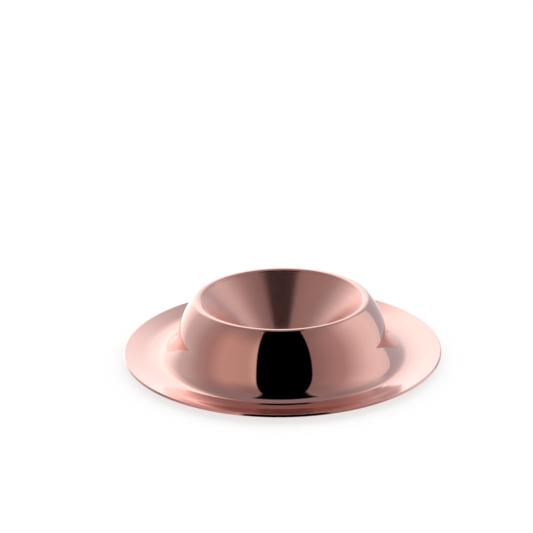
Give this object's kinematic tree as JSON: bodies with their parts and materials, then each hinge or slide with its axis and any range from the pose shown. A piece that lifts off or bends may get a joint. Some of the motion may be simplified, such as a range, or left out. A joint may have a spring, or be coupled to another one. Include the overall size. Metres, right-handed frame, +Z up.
{
  "type": "egg tray",
  "caption": "Pressed metal egg tray: a dished saucer rises into a crowned dome, and a satin cone-shaped bowl set flush in the dome's mouth holds an egg upright.",
  "frame": {"origin": "on the table, at the centre of the ring that the tray stands on", "axes": "+Z up along the tray's axis, +X and +Y level; the picture looks along +Y from the -Y side"},
  "size_m": [0.084, 0.084, 0.0161],
  "materials": {
    "polished_shell": "mirror-polished rose-gold plating on steel sheet",
    "satin_bowl": "satin, brushed round the axis, rose-gold plating on steel sheet"
  },
  "bodies": {
    "root": {"tray_shell": "polished_shell", "egg_bowl": "satin_bowl"}
  },
  "joints": []
}
